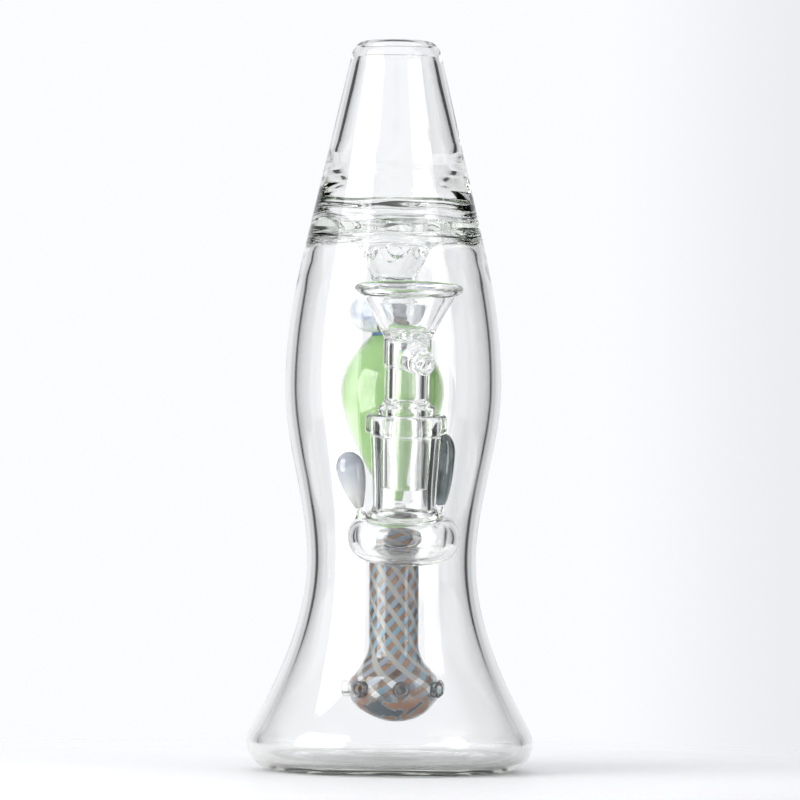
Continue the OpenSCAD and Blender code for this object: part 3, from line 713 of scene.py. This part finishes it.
def make_handle(glass):
    """The bowl's short handle, a tube that ends in a rounded ring."""
    outline = (flowing([(4.6, COLLAR_R - 0.55), (4.0, COLLAR_R + 0.3), (3.45, COLLAR_R + 1.4),
                        (3.0, COLLAR_R + 3.0), (2.75, 10.6)])
               + arc(2.2, 11.45, 0.55, 0, 180, 8) + [(1.7, 10.4), (1.7, COLLAR_R + 2.4)]
               + bend((1.65, COLLAR_R + 2.0), (1.5, COLLAR_R + 1.2), (0.4, COLLAR_R + 1.1), 4)
               + [(0, COLLAR_R + 1.1)])
    handle = lathe("handle_glass", [(0, COLLAR_R - 0.55)] + outline, HANDLE, 64)
    combine(handle, [rod("collar", COLLAR_R + 0.02, 30, JOINT @ moved(0, 0, COLLAR_Z - 8), 96)])
    finish_piece(handle, [glass], "bowl", "clear_glass", "bowl_handle")


def downstem_outline():
    """Down the outside of the stem and over the diffuser to its tip."""
    belt = 2.7
    flare = [(DOWNSTEM_R + (DIFFUSER_R - DOWNSTEM_R) * t**1.8, DIFFUSER_TOP + (DIFFUSER_Z + belt - DIFFUSER_TOP) * t)
             for t in spaced(0, 0.9, 0.08)]
    ball = flowing([flare[-1], (DIFFUSER_R - 0.35, DIFFUSER_Z + 2.2), (DIFFUSER_R, DIFFUSER_Z),
                    (DIFFUSER_R - 0.35, DIFFUSER_Z - 2.2), (DIFFUSER_R - 1.5, DIFFUSER_Z - 4.2),
                    (8.6, 15.9), (5.6, 14.2), (2.8, 13.35), (0, DIFFUSER_LOW)])[1:]
    top = 62.0
    stem = [(DOWNSTEM_R, h) for h in spaced(top, 35, 2)]
    return [(0, top)] + [(DOWNSTEM_R - 1.9, top)] + stem + flare + ball


def stem_lean(z):
    """The hand-made stem drifts a little to the right on its way down."""
    down = max(0.0, (60 - z) / 47)
    return 0.3 * down + 1.5 * max(0.0, down - 0.72) ** 1.2 + 0.35 * max(0.0, down - 0.9) * 10


def nib_places():
    """Where the nibs stand around the diffuser, each pointing outwards."""
    centre = moved(0, DOWNSTEM_Y, 0) @ moved(stem_lean(DIFFUSER_Z), 0, DIFFUSER_Z)
    return [centre @ turned(NIB_TURN + 360 * i / NIBS, "Z") @ turned(90, "X") for i in range(NIBS)]


def stem_wobble(r, z, a):
    """The diffuser is a little uneven, and the stem hardly."""
    strong = 1 if z < 30 and r > 1 else 0.15
    return r + (0.12 * math.sin(3 * a + z) + 0.08 * math.sin(5 * a)) * strong, z


def make_downstem(latticino):
    """The swirled stem and its diffuser, with seats for the nibs."""
    stem = lathe("downstem_glass", downstem_outline(), moved(0, DOWNSTEM_Y, 0), 128, wobble=stem_wobble)
    for v in stem.data.vertices:
        v.co.x += stem_lean(v.co.z / MM) * MM
    cutters = [rod("cross", DOWNSTEM_R + 0.02, 30, moved(0, DROP_Y, JOINT_Z) @ turned(90, "X"), 96)]
    cutters += [rod("nib_seat", 2.0, 8, place @ moved(0, 0, 8.5)) for place in nib_places()]
    combine(stem, cutters)
    finish_piece(stem, [latticino], "water_pipe", "swirled_glass", "downstem", "diffuser_ball")


def make_cross_tube(latticino):
    """The tube from the port to the stem, round at its closed end and trimmed to the wall."""
    r = DOWNSTEM_R
    outline = ([(0, -30), (r, -30)] + [(r, h) for h in spaced(-28, 0, 2)]
               + arc(0, 0, r, 0, 90, 16)[1:-1] + [(0, r)])
    cross = lathe("cross_tube_glass", outline, moved(0, DROP_Y, JOINT_Z) @ turned(-90, "X"), 96)
    wall = [inner_point(z, WALL) for z in spaced(42, 90, 2)]
    trim = lathe("trim", [(0, 40)] + [(r - 0.03, z) for r, z in wall] + [(0, 90)], turns=160)
    combine(cross, [trim], "INTERSECT")
    finish_piece(cross, [latticino], "water_pipe", "latticino_glass", "cross_tube")


def make_nibs(glass):
    """Seven short clear tubes around the diffuser; the first stands for the CAD node of all seven."""
    rim = [(1.1, 9.4), (2.28, 9.4), (2.28, 13.2)] + arc(1.75, 13.45, 0.55, 0, 180, 8) + [(1.1, 13.2)]
    for i, place in enumerate(nib_places()):
        nib = lathe(f"nib_glass_{i + 1}", rim, place, 40, closed=True)
        names = ["diffuser_nibs"] if i == 0 else []
        finish_piece(nib, [glass], "water_pipe", "clear_glass", *names)


def make_drop(green):
    """The green drop, which swells from its tail and draws in again to its neck."""
    low_side = [(2.5 + 11.9 * (1 - (1 - t**1.15) ** 1.75), DROP_LOW + (DROP_WIDE - DROP_LOW) * t)
                for t in spaced(0, 1, 0.03)]
    high_side = [(6.1 + 8.3 * (1 - t * t), DROP_WIDE + (DROP_TOP - DROP_WIDE) * t) for t in spaced(0.06, 1, 0.06)]
    drop = lathe("green_drop_glass", [(0, DROP_LOW)] + low_side + high_side + [(0, DROP_TOP)], DROP, 128)
    finish_piece(drop, [green], "water_pipe", "green_glass", "green_drop")


def make_drop_foot(glass):
    """The clear foot that carries the drop on the cross tube."""
    side = flowing([(4.4, 66.5), (4.3, 70.6), (3.5, 72.0), (2.8, 73.6), (2.5, DROP_LOW)])
    foot = lathe("drop_foot_glass", [(0, 66)] + side + [(0, DROP_LOW)], DROP, 64)
    combine(foot, [rod("cross", DOWNSTEM_R + 0.02, 30, moved(0, 18, JOINT_Z) @ turned(90, "X"), 96)])
    finish_piece(foot, [glass], "water_pipe", "clear_glass", "drop_foot")


def make_blue_collar(blue):
    """The thin blue ring between the drop and the marble."""
    low, high = DROP_TOP + 0.02, DROP_TOP + 0.78
    side = bend((5.7, low), (6.35, (low + high) / 2), (5.7, high), 8)
    collar = lathe("blue_collar_glass", [(0, low)] + side + [(0, high)], DROP, 96)
    finish_piece(collar, [blue], "water_pipe", "blue_glass", "blue_collar")


def make_marble_core(amber, milky):
    """The amber block at the marble's foot, and the ribbed pale column above it."""
    side = flowing([(3.9, 0.5), (3.5, 1.6), (3.9, 2.6), (3.4, 3.6), (3.7, 4.4), (2.6, 5.0)])
    at_marble = DROP @ moved(0, 0, MARBLE_Z)
    core = lathe("marble_core_glass", [(0, 0.05), (3.4, 0.05)] + side + [(0, 5.0)], at_marble, 64)
    finish_piece(core, [amber], "water_pipe", "amber_glass", "marble_core")
    ribs = flowing([(2.35 + 0.28 * math.sin(2.1 * k), 5.1 + 0.42 * k) for k in range(12)], 3)
    column = lathe("marble_column_glass", [(0, 5.1)] + ribs + [(0, 5.1 + 0.42 * 11)], at_marble, 48)
    finish_piece(column, [milky], "water_pipe", "pale_blue_glass")


def make_marble(marble):
    """The flattened marble on top."""
    swell = lambda r, z, a: (r * (1 + 0.012 * math.sin(2 * a + 0.5)), z)
    shell = arc(6.5, 5.7, 5.7, -90, 84, 24) + [(3.0, 11.52), (0, 11.58)]
    bead = lathe("top_marble_glass", [(0, 0)] + shell, DROP @ moved(0, 0, MARBLE_Z), 128, wobble=swell)
    finish_piece(bead, [marble], "water_pipe", "pale_blue_glass", "top_marble")


def horn_outline(length, r, fullness):
    """A teardrop with its tip down; a fullness under 1 makes its lower half plumper."""
    side = [(1.0 + (r - 1.0) * math.sin(math.pi / 2 * t / WIDEST) ** fullness, length * t)
            for t in spaced(0.02, WIDEST, 0.035)]
    cap = [(r * math.cos(a), length * (WIDEST + (1 - WIDEST) * math.sin(a)))
           for a in [math.radians(6 * i) for i in range(1, 15)]]
    return [(0, 0)] + side + cap + [(0, length)]


def make_horn(side, turn, lean, length, r, gap, fullness, glass, horn_mat):
    """A coloured horn on its clear foot, leaning outwards on the bulb's shoulder."""
    lean = math.radians(lean)
    ring = SOCKET_R + gap + r - (HORN_FOOT + length * WIDEST) * math.tan(lean)
    place = (JOINT @ turned(turn, "Z") @ moved(ring, 0, BULB_ROUND - 1.2)
             @ Matrix.Rotation(lean, 4, "Y"))
    bow = lambda rr, z, a: (rr * (1 + 0.04 * math.cos(2 * a)), z)
    horn = lathe(f"{side}_horn_glass", horn_outline(length, r, fullness), place @ moved(0, 0, HORN_FOOT), 96,
                 wobble=bow)
    slot = "grey_blue_glass" if side == "left" else "grey_green_glass"
    finish_piece(horn, [horn_mat], "water_pipe", slot, f"{side}_horn")
    foot_side = flowing([(2.4, -1.8), (1.9, -0.4), (1.3, 0.9), (1.0, 2.18)])
    foot = lathe(f"{side}_horn_foot_glass", [(0, -2)] + foot_side + [(0, 2.18)], place, 48)
    blank = [(0, -BULB_ROUND - 0.05)] + arc(BULB_R - BULB_ROUND, 0, BULB_ROUND + 0.03, -90, 70, 30) + [(0, 6.2)]
    combine(foot, [lathe("bulb_blank", blank, JOINT, 128)])
    finish_piece(foot, [glass], "water_pipe", "clear_glass", f"{side}_horn_foot")


# ---------------------------------------------------------------- studio


def make_camera():
    """A long lens at the photograph's distance and height, a little to the left of the joint."""
    cam = bpy.data.objects.new("camera", bpy.data.cameras.new("camera"))
    bpy.context.scene.collection.objects.link(cam)
    cam.data.lens = 198.0
    cam.data.sensor_width = 36.0
    turn = math.radians(-4.9)
    distance, eye_z, aim_z, aim_right, roll = 1.205, 0.0643, 0.1013, 0.0019, math.radians(0.6)
    side = Vector((math.cos(turn), math.sin(turn), 0))
    cam.location = Vector((math.sin(turn) * distance, -math.cos(turn) * distance, eye_z))
    look = Vector((0, 0, aim_z)) + side * aim_right - cam.location
    cam.rotation_mode = "QUATERNION"
    cam.rotation_quaternion = look.to_track_quat("-Z", "Y") @ Matrix.Rotation(roll, 3, "Z").to_quaternion()
    cam.data.clip_start, cam.data.clip_end = 0.05, 50
    bpy.context.scene.camera = cam


def make_world():
    """A pale room whose backdrops end in dark gaps, so that clear glass shows its walls as thin dark lines.

    Level with the object there is a backdrop in front, behind and at each side. A little lower the diagonals
    have one too, for views from above.
    """
    world = bpy.data.worlds.new("studio")
    bpy.context.scene.world = world
    world.use_nodes = True
    tree = world.node_tree
    coord = tree.nodes.new("ShaderNodeTexCoord")
    split = tree.nodes.new("ShaderNodeSeparateXYZ")
    tree.links.new(coord.outputs["Generated"], split.inputs[0])
    x, y, z = (Value(tree, split.outputs[i]) for i in range(3))
    turn = math.radians(4.9)
    ahead = x * math.sin(turn) + y * math.cos(turn)
    right = x * math.cos(turn) - y * math.sin(turn)
    off = right.op("ABSOLUTE").op("ARCTAN2", ahead.op("ABSOLUTE")) * math.degrees(1)
    shade_side = (right * ahead).ramp(0.045, 0.095) * -0.13 + 1
    main = (off.ramp(9, 36) * -0.26 + 0.985) * (off.ramp(35, 42) * -0.96 + 1)
    side = (off * -1 + 90).ramp(14, 20) * -0.92 + 0.96
    level = main.op("MAXIMUM", side) * shade_side
    diagonal = (off - 45).op("ABSOLUTE")
    low = (diagonal.ramp(6, 34) * -0.28 + 0.95) * (diagonal.ramp(33, 41) * -0.85 + 1)
    is_level = z.ramp(-0.165, -0.148)
    is_near = z.ramp(-0.34, -0.30)
    low = low.op("MAXIMUM", main * is_near)
    walls = level * is_level + low * (is_level * -1 + 1)
    above = z.ramp(0.36, 0.55)
    below = z.op("ABSOLUTE").ramp(0.55, 0.7) * (is_level * -1 + 1)
    plain = above.op("MAXIMUM", below)
    bright = walls * (plain * -1 + 1) + plain * 0.88
    tone = blended(tree, bright, (0.0, 0.0, 0.0), (0.985, 0.992, 1.03))
    tree.links.new(tone, tree.nodes["Background"].inputs["Color"])
    tree.nodes["Background"].inputs["Strength"].default_value = 1.0


def softbox(name, azimuth, elevation, distance, width, height, power):
    """A soft light that the camera doesn't see; azimuth is counted from the joint's side."""
    light = bpy.data.lights.new(name, "AREA")
    light.shape = "RECTANGLE"
    light.size, light.size_y, light.energy = width, height, power
    obj = bpy.data.objects.new(name, light)
    bpy.context.scene.collection.objects.link(obj)
    a, e = math.radians(azimuth), math.radians(elevation)
    out = Vector((math.sin(a) * math.cos(e), -math.cos(a) * math.cos(e), math.sin(e)))
    obj.location = Vector((0, 0, 0.1)) + out * distance
    obj.rotation_mode = "QUATERNION"
    obj.rotation_quaternion = (-out).to_track_quat("-Z", "Y")
    obj.visible_camera = False
    return obj


def make_floor():
    """A pale round floor that fades out before its edge."""
    floor = lathe("floor", [(0, 0), (60, 0), (120, 0), (240, 0), (420, 0)], moved(0, 0, -0.02), 96)
    mat, tree, bsdf = new_material("pale_floor", Roughness=0.55)
    x, y, z = place_values(tree)
    far = ((x * x) + (y * y)).op("SQRT")
    tone = noise_value(tree, 20, 2.0) * 0.01 + 0.9
    grey = tree.nodes.new("ShaderNodeCombineColor")
    for i in range(3):
        tree.links.new(tone.socket, grey.inputs[i])
    tree.links.new(grey.outputs[0], bsdf.inputs["Base Color"])
    clear = tree.nodes.new("ShaderNodeBsdfTransparent")
    mix = tree.nodes.new("ShaderNodeMixShader")
    tree.links.new(far.ramp(70, 230).socket, mix.inputs[0])
    tree.links.new(bsdf.outputs[0], mix.inputs[1])
    tree.links.new(clear.outputs[0], mix.inputs[2])
    tree.links.new(mix.outputs[0], tree.nodes["Material Output"].inputs["Surface"])
    floor.data.materials.append(mat)


# ---------------------------------------------------------------- build
make_camera()
make_world()
softbox("left_softbox", -64, 8, 0.9, 0.72, 1.1, 12.0)
softbox("right_softbox", 52, 8, 1.0, 0.30, 1.0, 3.0)
make_floor()

clear = clear_glass("clear_glass")
ground = ground_glass()
make_vessel(clear)
make_joint(clear)
clear_wall_weld(clear)
make_bowl(clear, ground)
make_handle(clear)
swirled = latticino_glass(DOWNSTEM_Y)
make_downstem(swirled)
make_cross_tube(swirled)
make_nibs(clear)
make_drop(green_glass())
make_drop_foot(clear)
make_blue_collar(plain_coloured("blue_glass", (0.02, 0.16, 0.45), (0.05, 0.30, 0.60)))
make_marble_core(plain_coloured("amber_glass", (0.34, 0.26, 0.14), (0.10, 0.06, 0.03)),
                 plain_coloured("milky_glass", (0.70, 0.72, 0.76), (0.86, 0.88, 0.90)))
make_marble(marble_glass())
make_horn("left", 180, 14, 15.6, 3.6, 1.7, 1.0, clear,
          horn_glass("grey_blue_glass", (0.36, 0.39, 0.43), (0.50, 0.53, 0.57), (0.76, 0.76, 0.75), 72, 82))
make_horn("right", 35, 3, 19.5, 3.3, 0.4, 0.5, clear,
          horn_glass("grey_green_glass", (0.08, 0.105, 0.10), (0.17, 0.205, 0.205), (0.36, 0.44, 0.50), 70, 76))

scene = bpy.context.scene
scene.view_settings.view_transform = "Standard"
scene.cycles.max_bounces = 24
scene.cycles.transmission_bounces = 24
scene.cycles.glossy_bounces = 12
scene.cycles.transparent_max_bounces = 16

bpy.context.view_layer.update()
